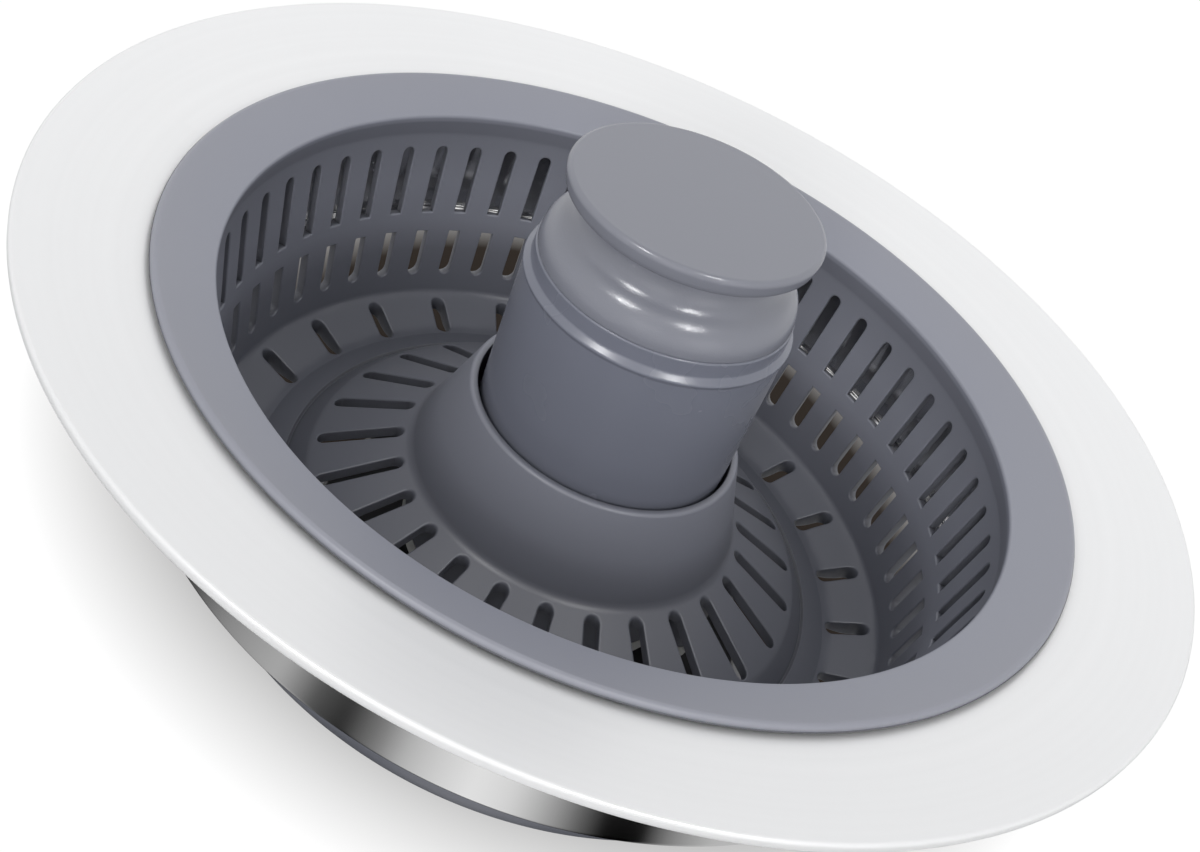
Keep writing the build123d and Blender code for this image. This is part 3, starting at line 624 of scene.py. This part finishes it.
add_band(
    (cone_inner, floor_inside(cone_inner)), (cone_inner, floor_outside(cone_inner)),
    cone_ring, cone_ring,
)
add_band(
    (cone_outer, floor_outside(cone_outer)), (ledge_inner, floor_outside(ledge_inner)),
    cone_ring, ledge_ring,
)
add_band((ledge_outer, floor_outside(ledge_outer)), wall_foot_out, ledge_ring, wall_ring)
basket_mesh = bpy.data.meshes.new("dressed_basket")
basket_mesh.from_pydata(basket_points, [], basket_faces)
dressed_basket = bpy.data.objects.new("dressed_basket", basket_mesh)
bpy.context.collection.objects.link(dressed_basket)
finish_mesh(dressed_basket, sharp=50)

basket_plastic, nodes, links, shader = new_material("basket_plastic_look")
basket_coords = put(nodes, "ShaderNodeTexCoord", (-1100, 0))
basket_grain = put(nodes, "ShaderNodeTexNoise", (-800, -200), Scale=6000.0, Detail=2.0)
basket_bump = put(nodes, "ShaderNodeBump", (-500, -300), Strength=0.5, Distance=0.00001)
basket_patch = put(nodes, "ShaderNodeTexNoise", (-800, 100), Scale=60.0, Detail=3.0)
basket_rough = put(nodes, "ShaderNodeMapRange", (-500, 0), **streak_span, To_Min=0.38, To_Max=0.46)
basket_parts = put(nodes, "ShaderNodeSeparateXYZ", (-800, 400))
basket_depth = put(nodes, "ShaderNodeMapRange", (-600, 400), From_Min=-0.025, From_Max=0.003)
# Painted shade: the plastic's colour is lightest on the rim and darkens towards the bottom of the bowl,
# and ambient occlusion darkens its recesses as painted shade
# Painted shade: colour by height, darker deeper in the bowl
basket_depth_shade = put(nodes, "ShaderNodeValToRGB", (-400, 400))
basket_depth_shade.color_ramp.elements[0].color = (0.14, 0.146, 0.172, 1)
basket_depth_shade.color_ramp.elements[1].color = (0.31, 0.316, 0.36, 1)
basket_depth_shade_tones = ((0.286, 0.17), (0.43, 0.25), (0.607, 0.25), (0.8, 0.2), (0.875, 0.21), (0.885, 0.31))
for share, tone in basket_depth_shade_tones:
    basket_depth_shade.color_ramp.elements.new(share).color = (tone, tone * 1.03, tone * 1.2, 1)
# Painted shade: ambient occlusion within 2.5 mm darkens the colour in slots, creases and corners
basket_occlusion = put(nodes, "ShaderNodeAmbientOcclusion", (-600, 700), Distance=0.0025)
basket_occlusion.samples = 8
basket_painted_recess_shade = put(nodes, "ShaderNodeMapRange", (-400, 700), From_Min=0.25, From_Max=0.85, To_Min=0.15)
basket_colour = put(nodes, "ShaderNodeVectorMath", (-200, 500))
basket_colour.operation = "MULTIPLY"
links.new(basket_coords.outputs["Object"], basket_parts.inputs[0])
links.new(basket_parts.outputs[2], basket_depth.inputs["Value"])
links.new(basket_depth.outputs[0], basket_depth_shade.inputs["Fac"])
links.new(basket_occlusion.outputs["AO"], basket_painted_recess_shade.inputs["Value"])
links.new(basket_depth_shade.outputs["Color"], basket_colour.inputs[0])
links.new(basket_painted_recess_shade.outputs[0], basket_colour.inputs[1])
links.new(basket_colour.outputs[0], shader.inputs["Base Color"])
links.new(basket_coords.outputs["Object"], basket_grain.inputs["Vector"])
links.new(basket_coords.outputs["Object"], basket_patch.inputs["Vector"])
links.new(basket_grain.outputs[0], basket_bump.inputs["Height"])
links.new(basket_patch.outputs[0], basket_rough.inputs["Value"])
links.new(basket_rough.outputs[0], shader.inputs["Roughness"])
links.new(basket_bump.outputs[0], shader.inputs["Normal"])
dressed_basket.data.materials.append(basket_plastic)
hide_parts("strainer_basket")
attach(dressed_basket, "basket_body")

# Screw bosses
# Two hollow bosses of the same moulding stand under the cone, between its slots. They take the
# screws that hold the core's base.
boss_outline = rounded([
    (1.15, -25.9, 0), (2.1, -25.9, 0.15), (2.1, -19.1, 0), (1.15, -19.1, 0),
], closed=True)
boss_circle = 17.0 * MM
bosses = []
for turn in (math.radians(157.62), math.radians(337.62)):
    bosses.append(spin_piece("screw_bosses", boss_outline, 32))
    boss_place = (boss_circle * math.cos(turn), boss_circle * math.sin(turn), 0)
    bosses[-1].data.transform(Matrix.Translation(boss_place))
bosses[0].select_set(True)
bpy.ops.object.join()
bosses[-1].data.materials.append(basket_plastic)
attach(bosses[-1], "basket_body")

# Push sleeve
# The post's glossy grey tube. A low bead runs round it under the knob's seam, and the narrower band
# above the bead carries the knob. The post leans a little in its bore, as the photographed one does.
sleeve_outline = rounded([
    (11.55, -14.8, 0), (12.9, -14.8, 0.3), (12.9, 6.55, 0.4), (13.12, 6.95, 0.2), (12.45, 7.4, 0.25),
    (12.45, 9.0, 0.2), (11.55, 9.0, 0),
], closed=True)
dressed_sleeve = spin_piece("dressed_sleeve", sleeve_outline, 192)


post_lean = Matrix.Rotation(0.055, 4, (0.70, -0.715, 0))
lean_pivot = Vector((0, 0, -5.3 * MM))


def lean_skin(piece, inside):
    """Leans a post piece's outer skin about a point in the bore. Points inside stay as they are."""
    for vertex in piece.data.vertices:
        if not inside(math.hypot(*vertex.co[:2]) / MM, vertex.co.z / MM):
            vertex.co = post_lean @ (vertex.co - lean_pivot) + lean_pivot


lean_skin(dressed_sleeve, lambda radius, height: radius < 12.0)


def gloss_plastic(name, tone, roughness, smooth_above):
    """Makes a glossy moulded plastic. A fine grain below a height makes its lights sparkle."""
    material, nodes, links, shader = new_material(name)
    shader.inputs["Base Color"].default_value = (*tone, 1)
    coords = put(nodes, "ShaderNodeTexCoord", (-1300, 0))
    parts = put(nodes, "ShaderNodeSeparateXYZ", (-1100, -500))
    grained = put(nodes, "ShaderNodeMapRange", (-900, -500), To_Min=1.0, To_Max=0.1)
    grained.inputs["From Min"].default_value = smooth_above * MM
    grained.inputs["From Max"].default_value = (smooth_above + 0.6) * MM
    noise = put(nodes, "ShaderNodeTexNoise", (-900, -200), Scale=6500.0, Detail=2.0, Roughness=0.6)
    height = put(nodes, "ShaderNodeMath", (-700, -300))
    height.operation = "MULTIPLY"
    bump = put(nodes, "ShaderNodeBump", (-500, -300), Strength=1.0, Distance=0.000014)
    patch = put(nodes, "ShaderNodeTexNoise", (-900, 100), Scale=90.0, Detail=3.0)
    spread = put(nodes, "ShaderNodeMapRange", (-500, 0), From_Min=0.0, From_Max=1.0)
    spread.inputs["To Min"].default_value = roughness * 0.92
    spread.inputs["To Max"].default_value = roughness * 1.08
    links.new(coords.outputs["Object"], parts.inputs[0])
    links.new(coords.outputs["Object"], noise.inputs["Vector"])
    links.new(coords.outputs["Object"], patch.inputs["Vector"])
    links.new(parts.outputs[2], grained.inputs["Value"])
    links.new(noise.outputs[0], height.inputs[0])
    links.new(grained.outputs[0], height.inputs[1])
    links.new(height.outputs[0], bump.inputs["Height"])
    links.new(patch.outputs[0], spread.inputs["Value"])
    links.new(spread.outputs[0], shader.inputs["Roughness"])
    links.new(bump.outputs[0], shader.inputs["Normal"])
    return material


dressed_sleeve.data.materials.append(gloss_plastic("post_plastic_look", (0.195, 0.205, 0.25), 0.27, -20.0))
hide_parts("push_sleeve")
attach(dressed_sleeve, "plunger")

# Knob cap
# A hollow moulding with a dished finger disc, a waist and a rounded shoulder. The disc's edge is
# round enough to carry a crisp line of light.
knob_outline = rounded([
    (0, 17.05, 0), (12.0, 17.3, 0.5), (11.75, 15.4, 0.8), (9.3, 15.4, 1.1), (9.3, 12.8, 2.5),
    (12.4, 10.9, 3.1), (12.3, 9.0, 0.2), (11.5, 9.0, 0), (11.5, 5.0, 0.2), (10.3, 5.0, 0),
    (10.3, 10.4, 0), (7.7, 10.4, 0), (7.7, 14.2, 0), (4.6, 14.2, 0), (4.6, 11.0, 0), (4.3, 11.0, 0),
    (4.3, 15.5, 0), (0, 15.5, 0),
])
dressed_knob = spin_piece("dressed_knob", knob_outline, 192, closed=False)


def inside_knob(radius, height):
    """Tells whether a point is on the knob's inner faces, which stay coaxial."""
    return height < 8.9 or (radius < 11.6 and height < 10.5) or (radius < 7.8 and height < 15.6)


lean_skin(dressed_knob, inside_knob)
dressed_knob.data.materials.append(gloss_plastic("knob_plastic_look", (0.24, 0.247, 0.285), 0.2, 13.6))
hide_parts("knob_cap")
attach(dressed_knob, "plunger")

# Return spring
# The wound spring of plain steel wire round the rod. Its lower end stands on the core.
wound_spring = bpy.data.objects.new("wound_spring", frame["nodes"]["return_spring"].data.copy())
bpy.context.collection.objects.link(wound_spring)
finish_mesh(wound_spring)


def plain_finish(slot, tone, roughness, metallic=0.0, grain=800.0):
    """Gives a slot's CAD pieces one procedural finish with a fine grain."""
    material, nodes, links, shader = new_material(slot + "_look")
    shader.inputs["Metallic"].default_value = metallic
    coords = put(nodes, "ShaderNodeTexCoord", (-1100, 0))
    noise = put(nodes, "ShaderNodeTexNoise", (-800, 0), Scale=grain, Detail=3.0)
    dark = tuple(value * 0.93 for value in tone)
    blend = put(nodes, "ShaderNodeMix", (-500, 200))
    blend.data_type = "RGBA"
    blend.inputs["A"].default_value = (*dark, 1)
    blend.inputs["B"].default_value = (*tone, 1)
    spread = put(nodes, "ShaderNodeMapRange", (-500, -40), From_Min=0.3, From_Max=0.7)
    spread.inputs["To Min"].default_value = roughness * 0.9
    spread.inputs["To Max"].default_value = roughness * 1.1
    links.new(coords.outputs["Object"], noise.inputs["Vector"])
    links.new(noise.outputs[0], blend.inputs["Factor"])
    links.new(noise.outputs[0], spread.inputs["Value"])
    links.new(blend.outputs["Result"], shader.inputs["Base Color"])
    links.new(spread.outputs[0], shader.inputs["Roughness"])
    return material


spring_steel = plain_finish("plain_steel", (0.66, 0.66, 0.66), 0.26, metallic=1.0)
for place in wound_spring.material_slots:
    place.material = spring_steel
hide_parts("return_spring")
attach(wound_spring, "basket_body")
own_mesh(wound_spring)

# Hidden pieces
# The gasket, core, rod and stopper keep their CAD forms. Each gets the finish of its own stuff:
# rubber, slippery off-white plastic, plain steel, brass, black plastic and grey silicone.
finishes = {
    "flange_steel": satin_steel,
    "basket_plastic": basket_plastic,
    "post_plastic": dressed_sleeve.data.materials[0],
    "knob_plastic": dressed_knob.data.materials[0],
    "gasket_rubber": plain_finish("gasket_rubber", (0.02, 0.02, 0.02), 0.6),
    "core_plastic": plain_finish("core_plastic", (0.62, 0.62, 0.6), 0.42),
    "stopper_plastic": plain_finish("stopper_plastic", (0.025, 0.025, 0.028), 0.38),
    "seal_silicone": plain_finish("seal_silicone", (0.2, 0.2, 0.21), 0.5),
    "plain_steel": spring_steel,
    "insert_brass": plain_finish("insert_brass", (0.7, 0.5, 0.2), 0.3, metallic=1.0),
}
for subpart in frame["record"]["subparts"]:
    for place in frame["nodes"][subpart["node"]].material_slots:
        place.material = finishes[subpart["material_slot"]]
